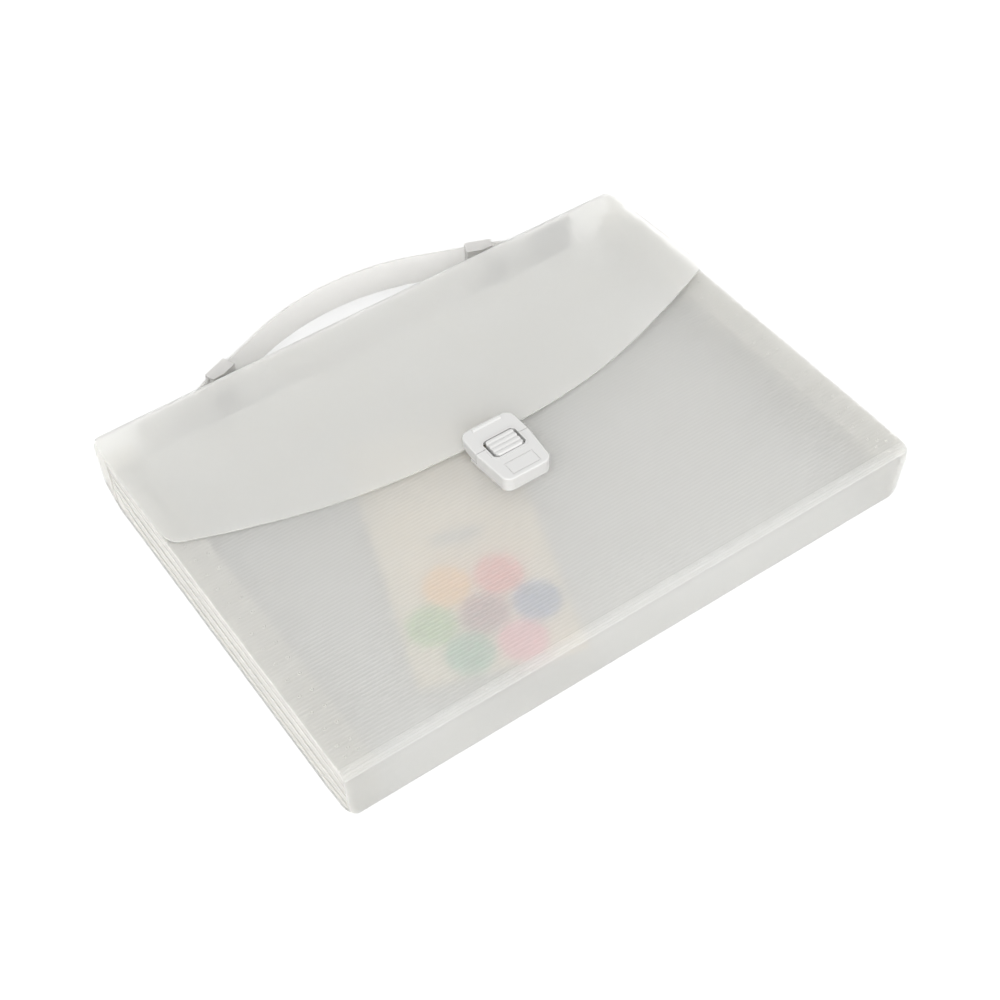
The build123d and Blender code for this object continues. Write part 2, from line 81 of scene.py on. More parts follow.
# Cover sheet
SHEET = 0.0008
PANEL_UNDER = PANEL_TOP - SHEET
STRIP_RADIUS = 0.0045
STRIP_BANDS = 5
GROOVE_HALF_ANGLE = radians(2.0)
GROOVE_DEPTH = 0.00015
RIDGE_HALF_ANGLE = radians(2.5)
RIDGE_HEIGHT = 0.00010
RIB_COUNT = 106
RIB_WIDTH = 0.00045
RIB_HEIGHT = 0.00004
RIB_MERGE = 0.00005
CORNER_ROUND = 0.0075
CORNER_REACH = 0.0225
TOP_SLANT = 0.0022
TOP_SLANT_REACH = 0.021
TOP_SLANT_EASE = 0.55
SPINE_HEIGHT = 0.031
CREASE_BEND = 0.0013
CREASE_STEPS = 4
CREASE_REACH = 0.0035
PANEL_CORNER = 0.004

# How far the bottom corners slant in, at the left side (-1) and the right side (1)
CORNER_SLANT = {-1: 0.0004, 1: 0.0034}

# Material slots of the cover sheet, and the edge's slot of the flap and the top crease
PLAIN_SLOT = 0
STRIP_SLOT = 1
COVER_EDGE_SLOT = 2
RIB_SLOT = 3
EDGE_SLOT = 1

# Rows of verts near the spines: shares of CORNER_ROUND, then reaches from the top spine
LOW_ROW_SHARES = (3.0, 2.2, 1.5, 1.0, 0.75, 0.5, 0.32)
HIGH_ROWS = (0.030, 0.021, 0.015, 0.011, 0.008, 0.006, 0.0045, CREASE_REACH)

# Flap and top spine
FLAP_ARC = 0.403
FLAP_ARC_STEPS = 384
FLAP_CORNER_CUT = 0.00975
FLAP_CORNER_STEPS = 8
FLAP_CORNER_SEARCH = 0.001
FLAP_GRID_X = (0.015, 0.035, 0.055, 0.075, 0.095, 0.115, 0.135, 0.150)
FLAP_GRID_STEP = 0.012
FLAP_GRID_END = 0.004
FLAP_BEND = 0.005
FLAP_BEND_STEPS = 8
SPINE_ROWS = (0.0295, 0.024, 0.018, 0.012, 0.007, CREASE_REACH)
SPINE_ROW_GAP = 0.0005
BEND_EASE = 0.0058
BEND_EASE_REACH = 0.0105
BEND_EASE_MOST = 0.95
BEND_EASE_ROWS = (0.0012, 0.0026, 0.0042, 0.0062)
BEND_EASE_DEPTH = 0.001

# Unevenness of the flap: the crease's drop, the dips of the edge and the corners' turn
CREASE_DROP = 0.0012
CREASE_DROP_REACH = 0.1
EDGE_DIP = 0.0011
EDGE_DIP_X = (0.060, 0.090)
EDGE_DIP_BAND = 0.002
EDGE_DIP_REACH = 0.045
CORNER_LIFT = 0.0026
CORNER_DROP = 0.0012
CORNER_SPOT_X = 0.016
CORNER_SPOT_Y = 0.02
CORNER_SPOT_REACH = 0.09

# Side walls
WALL_SHEET = 0.0003
POCKETS = 7
PLEAT_GAP = 0.0005
PLEAT_SETBACKS = (0.0, 0.0005, 0.0002, 0.0007, 0.0003, 0.0005, 0.0)
FOLD_BEND = 0.00025
FOLD_STEPS = 2
FOLD_MARGIN = 0.0005
OUTER_FACE = 0.002
WALL_START = 0.0009
WALL_STOP = 0.015
ROW_MARGIN = 0.0001

# Where the folds close up: reach from a spine and share of the height that is left there
LOW_FOLD_Z = 0.010
LOW_FOLD_ROWS = {
    WALL_START: 0.84,
    0.0020: 0.85,
    0.0032: 0.86,
    0.0045: 0.87,
    0.0060: 0.89,
    0.0080: 0.91,
    0.0120: 0.94,
    0.0200: 0.98,
}
HIGH_FOLD_Z = 0.024
HIGH_FOLD_ROWS = {
    WALL_STOP: 0.40,
    0.018: 0.48,
    0.022: 0.58,
    0.027: 0.70,
    0.033: 0.81,
    0.042: 0.91,
    0.055: 0.97,
}

# How far the front flange goes down round the bottom corner, at reaches from the spine
FLANGE_DROPS = {WALL_START: 0.0029, 0.0020: 0.00115, 0.0032: 0.0004}

# Smooth upper ends of the side walls
WALL_END_REACH = 0.0165
WALL_END_TOP = 0.0345
WALL_END_ROWS_Y = (0.003, 0.006, 0.010)
WALL_END_ROWS_Z = (0.008, 0.016, 0.024, 0.029)
WALL_END_TURNS = (15, 35, 55, 75)
WALL_END_OVERLAP = 0.00035
WALL_END_CLEARANCE = 0.0006
WALL_END_SHORT = 0.0014

# Strip behind the handle's clips, inside the top spine
STIFFENER_X = (-0.140, 0.139)
STIFFENER_Z = (0.0025, 0.0300)
STIFFENER_SHEET = 0.0003
STIFFENER_CORNER = 0.003
STIFFENER_CORNER_STEPS = 5

# Weld dots that hold the side walls to the front panel; the shares are of the radius
DOT_RADIUS = 0.00095
DOT_SIDES = 14
DOT_HEIGHT = 0.00018
DOT_RISE_SHARE = 0.18
DOT_CREST_SHARE = 0.22
DOT_FALL_SHARE = 0.15
DOT_PITCH = 0.0109
DOT_ROWS = 19
DOT_OUTER_X = 0.1586
DOT_INNER_X = 0.1520
DOT_FIRST_Y = 0.0156
DOT_LOW_Y = 0.0089
DOT_MIDDLE_Y = 0.0120

# Leaf spring under the button
LEAF_SHEET = 0.00035
LEAF_FOOT = 0.0004
LEAF_STEPS = 14

# Card
CARD_HALF_WIDTH = 0.041
CARD_HALF_LENGTH = 0.080
CARD_SHEET = 0.0004
CARD_TURN = radians(-18.5)
PRINT_HEIGHT = 0.00003
PRINT_EDGE = 0.0002
DISC_RADIUS = 0.0121
DISC_SIDES = 32
DISC_COLUMN = 0.013
DISC_ROW = 0.021
DISC_FIRST_Y = -0.025
BAR_HALF_LENGTH = 0.013
BAR_HALF_WIDTH = 0.004
BAR_CORNER = BAR_HALF_WIDTH * 0.9
BAR_CORNER_STEPS = 6
BAR_Y = 0.004

# Sheet material, colour sockets of a Mix node, floor and sky
# A glow has a direction, a strength and a sharpness
SHEET_WHITE = (0.992, 0.989, 0.965)
SHEET_IOR = 1.3
MIX_FIRST = 6
MIX_SECOND = 7
MIX_RESULT = 2
FLOOR_SIZE = 8
FLOOR_TONE = (0.64, 0.64, 0.64)
FLOOR_TONE_SEEN = (0.9, 0.9, 0.9)
SKY_LEVEL = 0.45
SKY_GLOWS = (
    ((-0.5, 0.1, 1.6), 1.35, 6.0),
    ((-0.5, -1.7, 0.5), 3.6, 6.0),
    ((0.21, -0.12, 0.97), 3.0, 60.0),
    ((-0.2, -0.7, 0.7), 0.45, 1.5),
    ((-1.6, -0.3, 0.5), 1.1, 6.0),
)

# Camera, from the photograph's perspective
CAMERA_PLACE = Vector((-0.33005, -0.54081, 0.68940))
CAMERA_TARGET = Vector((-0.0112147, -0.0396792, 0.017))
CAMERA_ROLL = radians(-2.978)
CAMERA_LENS = 64.275
CAMERA_CLIP = 0.01


# Modelling helpers


def edit(piece, kind="VERT"):
    """Open a piece for editing with nothing selected; kind is VERT, EDGE or FACE."""
    bpy.context.view_layer.objects.active = piece
    bpy.ops.object.mode_set(mode="EDIT")
    bpy.ops.mesh.select_mode(type=kind)
    bpy.ops.mesh.select_all(action="DESELECT")


def close_edit():
    bpy.ops.object.mode_set(mode="OBJECT")


def pick(piece, parts, test):
    """Select the verts, edges or faces whose corners all pass a test on their place."""
    bpy.ops.mesh.select_mode(type={"verts": "VERT", "edges": "EDGE", "faces": "FACE"}[parts])
    bpy.ops.mesh.select_all(action="DESELECT")
    shape = bmesh.from_edit_mesh(piece.data)
    for part in getattr(shape, parts):
        corners = [part] if parts == "verts" else part.verts
        if all(test(corner.co) for corner in corners):
            part.select_set(True)
    shape.select_flush_mode()
    bmesh.update_edit_mesh(piece.data)


def near(value, target, reach=CLOSE):
    return abs(value - target) < reach


def at(y, z):
    """Test for a place at this Y and Z."""
    return lambda p: near(p.y, y) and near(p.z, z)


def rounded(p):
    """Y and Z of a place to the micrometre, which tell its row."""
    return round(p.y, 6), round(p.z, 6)


def place(piece):
    """Move a piece's place, turn and size into its mesh."""
    bpy.ops.object.select_all(action="DESELECT")
    piece.select_set(True)
    bpy.context.view_layer.objects.active = piece
    bpy.ops.object.transform_apply(location=True, rotation=True, scale=True)


def new_plane(name, x_range, y_range, z):
    centre = (sum(x_range) / 2, sum(y_range) / 2, z)
    bpy.ops.mesh.primitive_plane_add(size=1, location=centre)
    piece = bpy.context.object
    piece.name = name
    piece.scale = (x_range[1] - x_range[0], y_range[1] - y_range[0], 1)
    place(piece)
    return piece


def extrude_through(points, start):
    """Draw the selected edges on through a list of (y, z) places."""
    y, z = start
    for new_y, new_z in points:
        step = (0, new_y - y, new_z - z)
        bpy.ops.mesh.extrude_region_move(TRANSFORM_OT_translate={"value": step})
        y, z = new_y, new_z


def modify(piece, kind, **settings):
    """Add a modifier with these settings and apply it."""
    modifier = piece.modifiers.new(kind.lower(), kind)
    for key, value in settings.items():
        setattr(modifier, key, value)
    bpy.context.view_layer.objects.active = piece
    bpy.ops.object.modifier_apply(modifier=modifier.name)


def cut(point, normal, **options):
    bpy.ops.mesh.select_all(action="SELECT")
    bpy.ops.mesh.bisect(plane_co=point, plane_no=normal, **options)


def outward(piece):
    """Merge doubles and turn the faces of an open sheet one way."""
    edit(piece)
    bpy.ops.mesh.select_all(action="SELECT")
    bpy.ops.mesh.remove_doubles(threshold=TINY)
    bpy.ops.mesh.normals_make_consistent(inside=False)
    close_edit()


def thicken(piece, thickness, inward=True, edge_slot=0):
    """Give a sheet its thickness; edge_slot is the material slot of its cut edges."""
    modify(
        piece,
        "SOLIDIFY",
        thickness=thickness,
        offset=-1 if inward else 0,
        use_even_offset=True,
        material_offset_rim=edge_slot,
    )


def finish_faces(piece, test, slot):
    """Give the faces that pass a test the material of one slot."""
    pick(piece, "faces", test)
    piece.active_material_index = slot
    bpy.ops.object.material_slot_assign()


def smooth(piece, angle=35):
    bpy.ops.object.select_all(action="DESELECT")
    piece.select_set(True)
    bpy.context.view_layer.objects.active = piece
    bpy.ops.object.shade_smooth_by_angle(angle=radians(angle))


def copy_of(piece, name):
    twin = piece.copy()
    twin.data = piece.data.copy()
    twin.name = name
    bpy.context.scene.collection.objects.link(twin)
    return twin


def join(pieces, name):
    bpy.ops.object.select_all(action="DESELECT")
    for piece in pieces:
        piece.select_set(True)
    bpy.context.view_layer.objects.active = pieces[0]
    bpy.ops.object.join()
    pieces[0].name = name
    place(pieces[0])
    return pieces[0]


def dress(piece, *materials):
    piece.data.materials.clear()
    for material in materials:
        piece.data.materials.append(material)


# Materials


def new_material(name):
    material = bpy.data.materials.new(name)
    material.use_nodes = True
    tree = material.node_tree
    return material, tree, tree.nodes["Principled BSDF"]


def noise(tree, scale, detail=2.0):
    where = tree.nodes.new("ShaderNodeTexCoord")
    pattern = tree.nodes.new("ShaderNodeTexNoise")
    pattern.inputs["Scale"].default_value = scale
    pattern.inputs["Detail"].default_value = detail
    tree.links.new(where.outputs["Object"], pattern.inputs["Vector"])
    return pattern


def mix_colours(tree, shader, share, first, second):
    """Colour a surface with the first colour, and with the second where the share is 1."""
    mix = tree.nodes.new("ShaderNodeMix")
    mix.data_type = "RGBA"
    mix.inputs[MIX_FIRST].default_value = (*first, 1)
    mix.inputs[MIX_SECOND].default_value = (*second, 1)
    tree.links.new(share, mix.inputs["Factor"])
    tree.links.new(mix.outputs[MIX_RESULT], shader.inputs["Base Color"])


def vary_colour(tree, shader, colour, amount, scale):
    """Tint a surface a little lighter and darker in soft patches."""
    pattern = noise(tree, scale)
    darker = [part * (1 - amount) for part in colour]
    lighter = [min(part * (1 + amount), 1) for part in colour]
    mix_colours(tree, shader, pattern.outputs["Fac"], darker, lighter)


def grain(tree, shader, scale, strength, height):
    pattern = noise(tree, scale, detail=3.0)
    bump = tree.nodes.new("ShaderNodeBump")
    bump.inputs["Strength"].default_value = strength
    bump.inputs["Distance"].default_value = height
    tree.links.new(pattern.outputs["Fac"], bump.inputs["Height"])
    tree.links.new(bump.outputs["Normal"], shader.inputs["Normal"])


def frosted(name, colour, clear, roughness, alpha=1.0):
    """Frosted sheet plastic that lets a share of the light through."""
    material, tree, shader = new_material(name)
    shader.inputs["Roughness"].default_value = roughness
    shader.inputs["IOR"].default_value = SHEET_IOR
    shader.inputs["Transmission Weight"].default_value = clear
    shader.inputs["Alpha"].default_value = alpha
    vary_colour(tree, shader, colour, amount=0.02, scale=40)
    return material


def moulded(name, colour, roughness, clear=0.0):
    material, tree, shader = new_material(name)
    shader.inputs["Roughness"].default_value = roughness
    shader.inputs["Transmission Weight"].default_value = clear
    vary_colour(tree, shader, colour, amount=0.015, scale=60)
    grain(tree, shader, scale=1500, strength=0.08, height=0.0001)
    return material


def printed(name, colour):
    material, tree, shader = new_material(name)
    shader.inputs["Roughness"].default_value = 0.6
    vary_colour(tree, shader, colour, amount=0.03, scale=300)
    return material


def metal(name, colour, roughness):
    material, tree, shader = new_material(name)
    shader.inputs["Metallic"].default_value = 1.0
    shader.inputs["Roughness"].default_value = roughness
    vary_colour(tree, shader, colour, amount=0.05, scale=200)
    return material


cover_plastic = frosted("cover_frosted_plastic", SHEET_WHITE, clear=0.80, roughness=0.38)
flap_plastic = frosted("flap_frosted_plastic", SHEET_WHITE, clear=0.74, roughness=0.38)
strip_plastic = frosted("scored_strip_plastic", (0.992, 0.989, 0.967), clear=0.78, roughness=0.34)
edge_plastic = frosted("sheet_edge_plastic", (0.97, 0.967, 0.95), clear=0.80, roughness=0.4)
rib_plastic = frosted("rib_frosted_plastic", SHEET_WHITE, clear=0.69, roughness=0.28)
# The side walls have the sheet's own warm tint, made darker than the cover's as painted shade, so
# that the case's side edges come out darker.
wall_tint_and_shade_plastic = frosted(
    "side_wall_tint_and_painted_shade_plastic", (0.955, 0.945, 0.91), clear=0.6, roughness=0.4
)
divider_plastic = frosted(
    "divider_frosted_plastic", (0.985, 0.985, 0.975), clear=0.5, roughness=0.3, alpha=0.1
)
stiffener_plastic = frosted(
    "stiffener_frosted_plastic", (0.965, 0.96, 0.945), clear=0.55, roughness=0.4
)
strap_plastic = frosted("strap_plastic", (0.93, 0.923, 0.905), clear=0.60, roughness=0.4)
clip_plastic = moulded("clip_plastic", (0.80, 0.79, 0.77), roughness=0.4, clear=0.45)
# The handle's retainers are real parts; their near-black tone is painted shade, standing in for
# the dark smudges they make behind the frosted flap and spine.
retainer_painted_shade_plastic = moulded("retainer_painted_shade_plastic", (0.20, 0.20, 0.19), roughness=0.5)
latch_plastic = moulded("latch_plastic", (0.53, 0.528, 0.52), roughness=0.35)
card_stock = printed("card_stock", (0.70, 0.61, 0.46))
amber_ink = printed("amber_ink", (0.88, 0.42, 0.01))
coral_ink = printed("coral_ink", (0.75, 0.05, 0.01))
green_ink = printed("green_ink", (0.16, 0.40, 0.01))
plum_ink = printed("plum_ink", (0.24, 0.005, 0.01))
blue_ink = printed("blue_ink", (0.005, 0.08, 0.28))
teal_ink = printed("teal_ink", (0.005, 0.28, 0.10))
pink_ink = printed("pink_ink", (0.80, 0.20, 0.26))
grey_ink = printed("grey_ink", (0.30, 0.31, 0.30))
steel = metal("spring_steel", (0.6, 0.6, 0.6), roughness=0.35)


# Cover: back panel, bottom spine, scored strip and ribbed front panel in one sheet


def bottom_inset(side, distance):
    """How far the rounded bottom corner draws a side in, at a distance from the lower crease."""
    inset = CORNER_SLANT[side]
    if distance > CORNER_ROUND:
        inset *= max(CORNER_REACH - distance, 0) / (CORNER_REACH - CORNER_ROUND)
    else:
        inset += CORNER_ROUND - sqrt(CORNER_ROUND**2 - (CORNER_ROUND - distance) ** 2)
    return inset


def top_inset(reach, z):
    """How far the sides draw in near the top spine, at a reach from it and a height."""
    along = max(1 - reach / TOP_SLANT_REACH, 0)
    up = 1 - TOP_SLANT_EASE * min(z, SPINE_HEIGHT) / SPINE_HEIGHT
    return TOP_SLANT * along * up


def draw_in(piece, test, inset):
    """Narrow a row of verts evenly at both sides."""
    pick(piece, "verts", test)
    factor = (HALF_WIDTH - inset) / HALF_WIDTH
    bpy.ops.transform.resize(value=(factor, 1, 1), center_override=(0, 0, 0))


def draw_side_in(piece, side, test, inset):
    """Move the verts of one side that pass a test inwards."""
    pick(piece, "verts", lambda p: p.x * side > 0 and test(p))
    bpy.ops.transform.translate(value=(-side * inset, 0, 0))


def crease_arc(centre_y, centre_z, radius, start, end, steps):
    """(y, z) places on an arc, angles in degrees from +Y towards +Z."""
    places = []
    for step in range(1, steps + 1):
        angle = radians(start + (end - start) * step / steps)
        places.append((centre_y + radius * cos(angle), centre_z + radius * sin(angle)))
    return places


def low_crease():
    """(y, z) places on the bend between the bottom spine and the back panel."""
    return crease_arc(
        BOTTOM_Y + CREASE_BEND, CREASE_BEND, CREASE_BEND, 180, 270, CREASE_STEPS
    )


def strip_places(centre_y, centre_z):
    """(y, z) places of the bands, score grooves and edge ridges round the upper corner."""
    turns = [(RIDGE_HALF_ANGLE, -RIDGE_HEIGHT), (2 * RIDGE_HALF_ANGLE, 0)]
    step = pi / 2 / STRIP_BANDS
    for band in range(1, STRIP_BANDS):
        middle = band * step
        turns.append((middle - GROOVE_HALF_ANGLE, 0))
        turns.append((middle, GROOVE_DEPTH))
        turns.append((middle + GROOVE_HALF_ANGLE, 0))
    turns.append((pi / 2 - 2 * RIDGE_HALF_ANGLE, 0))
    turns.append((pi / 2 - RIDGE_HALF_ANGLE, -RIDGE_HEIGHT))
    turns.append((pi / 2, 0))
    places = []
    for turn, depth in turns:
        reach = STRIP_RADIUS - depth
        places.append((centre_y - reach * sin(turn), centre_z + reach * cos(turn)))
    return places


def make_rib_tile(start_y, pitch, base_z):
    """Front panel between two ribs, with half the flat at each side of one rib."""
    y_range = (start_y, start_y + pitch)
    piece = new_plane("cover_sheet", (-HALF_WIDTH, HALF_WIDTH), y_range, base_z)
    dress(piece, cover_plastic, strip_plastic, edge_plastic, rib_plastic)
    edit(piece)
    crest_y = start_y + pitch / 2
    for offset in (-RIB_WIDTH / 2, 0, RIB_WIDTH / 2):
        cut((0, crest_y + offset, base_z), (0, 1, 0))
    pick(piece, "verts", lambda p: near(p.y, crest_y))
    bpy.ops.transform.translate(value=(0, 0, RIB_HEIGHT))
    finish_faces(piece, lambda p: abs(p.y - crest_y) < RIB_WIDTH / 2 + TINY, RIB_SLOT)
    close_edit()
    return piece


def draw_in_cover(piece, low_rows):
    """Round the bottom corners and slant the sides near both spines."""
    for side in (-1, 1):
        for reach in low_rows:
            inset = bottom_inset(side, reach)
            draw_side_in(piece, side, at(BOTTOM_Y, reach), inset)
            draw_side_in(piece, side, at(BOTTOM_Y + reach, 0), inset)
        draw_side_in(piece, side, at(BOTTOM_Y, CREASE_BEND), bottom_inset(side, CREASE_BEND))
        for y, z in low_crease():
            draw_side_in(piece, side, at(y, z), bottom_inset(side, max(y - BOTTOM_Y, z)))
    for reach in HIGH_ROWS:
        draw_in(piece, at(TOP_Y - reach, 0), top_inset(reach, 0))
    places = sorted({round(v.co.y, 6) for v in bmesh.from_edit_mesh(piece.data).verts})
    for y in places:
        reach = PANEL_EDGE_Y - y
        if -TINY < reach < PANEL_CORNER:
            away = PANEL_CORNER - max(reach, 0)
            inset = PANEL_CORNER - sqrt(PANEL_CORNER**2 - away**2)
            draw_in(piece, lambda p: near(p.y, y) and p.z > PANEL_UNDER, inset)


def make_cover_sheet():
    base_z = PANEL_TOP - RIB_HEIGHT
    start_y = BOTTOM_Y + STRIP_RADIUS
    pitch = (PANEL_EDGE_Y - start_y) / RIB_COUNT
    piece = make_rib_tile(start_y, pitch, base_z)
    modify(
        piece,
        "ARRAY",
        count=RIB_COUNT,
        use_relative_offset=False,
        use_constant_offset=True,
        constant_offset_displace=(0, pitch, 0),
        use_merge_vertices=True,
        merge_threshold=RIB_MERGE,
    )
    edit(piece, "EDGE")
    pick(piece, "edges", lambda p: near(p.y, start_y))
    bend_z = base_z - STRIP_RADIUS
    extrude_through(strip_places(start_y, bend_z), (start_y, base_z))
    finish_faces(piece, lambda p: p.y < start_y + TINY, STRIP_SLOT)
    pick(piece, "edges", at(BOTTOM_Y, bend_z))
    low_rows = [share * CORNER_ROUND for share in LOW_ROW_SHARES]
    rows = [(BOTTOM_Y, z) for z in low_rows]
    rows.append((BOTTOM_Y, CREASE_BEND))
    rows += low_crease()
    rows += [(BOTTOM_Y + reach, 0) for reach in reversed(low_rows)]
    rows += [(TOP_Y - reach, 0) for reach in HIGH_ROWS]
    extrude_through(rows, (BOTTOM_Y, bend_z))
    finish_faces(piece, lambda p: p.z < bend_z + TINY, PLAIN_SLOT)
    draw_in_cover(piece, low_rows)
    close_edit()
    outward(piece)
    thicken(piece, SHEET, edge_slot=COVER_EDGE_SLOT)
    return piece


# Flap and top spine in one sheet


def cut_flap_outline(piece, bend_y):
    """Cut the disc down to the flap, round its two corners and lay a grid over it."""
    cut((HALF_WIDTH, 0, 0), (1, 0, 0), clear_outer=True)
    cut((-HALF_WIDTH, 0, 0), (-1, 0, 0), clear_outer=True)
    cut((0, bend_y, 0), (0, 1, 0), clear_outer=True)
    verts = bmesh.from_edit_mesh(piece.data).verts
    side_low = min(v.co.y for v in verts if v.co.x > HALF_WIDTH - TINY)
    pick(
        piece,
        "verts",
        lambda p: near(abs(p.x), HALF_WIDTH) and near(p.y, side_low, FLAP_CORNER_SEARCH),
    )
    bpy.ops.mesh.bevel(
        offset=FLAP_CORNER_CUT,
        segments=FLAP_CORNER_STEPS,
        affect="VERTICES",
        clamp_overlap=False,
    )
    columns = sorted([-x for x in FLAP_GRID_X] + list(FLAP_GRID_X))
    for x in columns:
        cut((x, 0, 0), (1, 0, 0))
    for reach in BEND_EASE_ROWS:
        cut((0, bend_y - reach, 0), (0, 1, 0))
    y = bend_y - FLAP_GRID_STEP
    while y > FLAP_EDGE_Y + FLAP_GRID_END:
        cut((0, y, 0), (0, 1, 0))
        y -= FLAP_GRID_STEP
    return side_low


def bend_inset(y, z):
    """How far the sheet's ends draw in at the middle of the bend between spine and flap."""
    middle = FLAP_BEND * (1 - cos(pi / 4))
    away = sqrt((TOP_Y - middle - y) ** 2 + (FLAP_TOP - CREASE_DROP - middle - z) ** 2)
    share = min(max(1 - away / BEND_EASE_REACH, 0), BEND_EASE_MOST)
    return BEND_EASE * (1 - sqrt(1 - share**2))


def move_softly(piece, test, lift, reach):
    """Move some verts up or down and the sheet around them with them, less and less."""
    pick(piece, "verts", test)
    bpy.ops.transform.translate(
        value=(0, 0, lift),
        use_proportional_edit=True,
        proportional_edit_falloff="SMOOTH",
        proportional_size=reach,
    )


def uneven_flap(piece, bend_y, centre, side_low):
    """Drop the flap at its crease, dip its edge and turn its corners a little."""
    dip_low, dip_high = EDGE_DIP_X
    edge_reach = FLAP_ARC - EDGE_DIP_BAND
    spot_x = HALF_WIDTH - CORNER_SPOT_X
    spot_y = side_low + CORNER_SPOT_Y
    move_softly(piece, lambda p: near(p.y, bend_y), -CREASE_DROP, CREASE_DROP_REACH)
    move_softly(
        piece,
        lambda p: dip_low < abs(p.x) < dip_high and (p - centre).length > edge_reach,
        -EDGE_DIP,
        EDGE_DIP_REACH,
    )
    move_softly(
        piece, lambda p: p.x > spot_x and p.y < spot_y, CORNER_LIFT, CORNER_SPOT_REACH
    )
    move_softly(
        piece, lambda p: p.x < -spot_x and p.y < spot_y, -CORNER_DROP, CORNER_SPOT_REACH
    )


def make_flap_sheet():
    centre = Vector((0, FLAP_EDGE_Y + FLAP_ARC, FLAP_TOP))
    bend_y = TOP_Y - FLAP_BEND
    bpy.ops.mesh.primitive_circle_add(
        vertices=FLAP_ARC_STEPS, radius=FLAP_ARC, fill_type="NGON", location=centre
    )
    piece = bpy.context.object
    piece.name = "flap_sheet"
    place(piece)
    dress(piece, flap_plastic, edge_plastic)
    edit(piece)
    side_low = cut_flap_outline(piece, bend_y)
    uneven_flap(piece, bend_y, centre, side_low)
    pick(piece, "edges", lambda p: near(p.y, bend_y))
    crease_z = FLAP_TOP - CREASE_DROP
    arc_z = crease_z - FLAP_BEND
    arc = crease_arc(bend_y, arc_z, FLAP_BEND, 90, 0, FLAP_BEND_STEPS)
    rows = [(TOP_Y, z) for z in SPINE_ROWS if z < arc_z - SPINE_ROW_GAP]
    extrude_through(arc + rows, (bend_y, crease_z))
    for y, z in [(bend_y, crease_z)] + arc + rows:
        inset = top_inset(TOP_Y - y, z) + bend_inset(y, z)
        draw_in(piece, lambda p: near(p.y, y) and near(p.z, z, CORNER_DROP), inset)
    for reach in BEND_EASE_ROWS:
        row_y = bend_y - reach
        inset = top_inset(TOP_Y - row_y, crease_z) + bend_inset(row_y, crease_z)
        draw_in(
            piece, lambda p: near(p.y, row_y) and p.z > crease_z - BEND_EASE_DEPTH, inset
        )
    close_edit()
    outward(piece)
    thicken(piece, SHEET, edge_slot=EDGE_SLOT)
    return piece


def make_top_crease():
    """Strip of the cover sheet that folds between the back panel and the top spine."""
    half = HALF_WIDTH - top_inset(CREASE_REACH, 0)
    start_y = TOP_Y - CREASE_REACH
    piece = new_plane("top_crease", (-half, half), (start_y, start_y + SHEET), 0)
    dress(piece, cover_plastic, edge_plastic)
    edit(piece, "EDGE")
    pick(piece, "edges", lambda p: near(p.y, start_y + SHEET))
    rows = [(TOP_Y - CREASE_BEND, 0)]
    rows += crease_arc(TOP_Y - CREASE_BEND, CREASE_BEND, CREASE_BEND, -90, 0, CREASE_STEPS)
    rows += [(TOP_Y, CREASE_REACH - SHEET), (TOP_Y, CREASE_REACH)]
    extrude_through(rows, (start_y + SHEET, 0))
    for y, z in [(start_y + SHEET, 0)] + rows:
        factor = (HALF_WIDTH - top_inset(TOP_Y - y, z)) / half
        pick(piece, "verts", at(y, z))
        bpy.ops.transform.resize(value=(factor, 1, 1), center_override=(0, 0, 0))
    bpy.ops.mesh.select_all(action="SELECT")
    bpy.ops.mesh.flip_normals()
    close_edit()
    outward(piece)
    thicken(piece, SHEET, edge_slot=EDGE_SLOT)
    return piece


# Side walls


def wall_chain():
    """(x, z) places of the folds of the right side wall, from back flange to front flange."""
    back = SHEET + WALL_SHEET / 2
    front = PANEL_UNDER - WALL_SHEET / 2
    pitch = (PANEL_UNDER - SHEET) / POCKETS
    chain = [(WALL_OUTER_X, back)]
    for number in range(1, POCKETS):
        low = SHEET + number * pitch - PLEAT_GAP / 2
        high = low + PLEAT_GAP
        chain.append((WALL_OUTER_X - PLEAT_SETBACKS[number - 1], low))
        chain.append((WALL_INNER_X, low))
        chain.append((WALL_INNER_X, high))
        chain.append((WALL_OUTER_X - PLEAT_SETBACKS[number], high))
    chain.append((WALL_OUTER_X, front))
    chain.append((WALL_INNER_X, front))
    return chain


def on_outer_face(p):
    return abs(p.x) > WALL_OUTER_X - OUTER_FACE


def draw_wall_in(piece, side):
    """Set the outer faces of a wall in where the bottom corner and the top spine draw in."""
    verts = bmesh.from_edit_mesh(piece.data).verts
    for y, z in sorted({rounded(v.co) for v in verts if on_outer_face(v.co)}):
        inset = bottom_inset(side, sqrt((y - BOTTOM_Y) ** 2 + z**2))
        reach = TOP_Y - y
        if reach < TOP_SLANT_REACH:
            inset = top_inset(reach, z) + bend_inset(y, z) + WALL_END_OVERLAP
        if inset > TINY:
            draw_side_in(
                piece, side, lambda p: on_outer_face(p) and rounded(p) == (y, z), inset
            )


def is_fold(folds):
    """Test for a place on one of the folds, each given by its X and Z."""
    return lambda p: any(near(p.x, x) and near(p.z, z) for x, z in folds)


def close_folds(piece, back, front, low_y, high_y):
    """Bring the folds together, row by row, towards both ends of a wall."""
    rows = [(BOTTOM_Y + reach, share, LOW_FOLD_Z) for reach, share in LOW_FOLD_ROWS.items()]
    rows += [(TOP_Y - reach, share, HIGH_FOLD_Z) for reach, share in HIGH_FOLD_ROWS.items()]
    for y, share, centre in rows:
        if low_y + ROW_MARGIN < y < high_y - ROW_MARGIN:
            cut((0, y, 0), (0, 1, 0))
    low_z = back + FOLD_MARGIN
    high_z = front - FOLD_MARGIN
    for y, share, centre in rows:
        pick(piece, "verts", lambda p: near(p.y, y) and low_z < p.z < high_z)
        bpy.ops.transform.resize(value=(1, 1, share), center_override=(0, 0, centre))
    for reach, drop in FLANGE_DROPS.items():
        pick(piece, "verts", lambda p: near(p.y, BOTTOM_Y + reach) and p.z > high_z)
        bpy.ops.transform.translate(value=(0, 0, -drop))


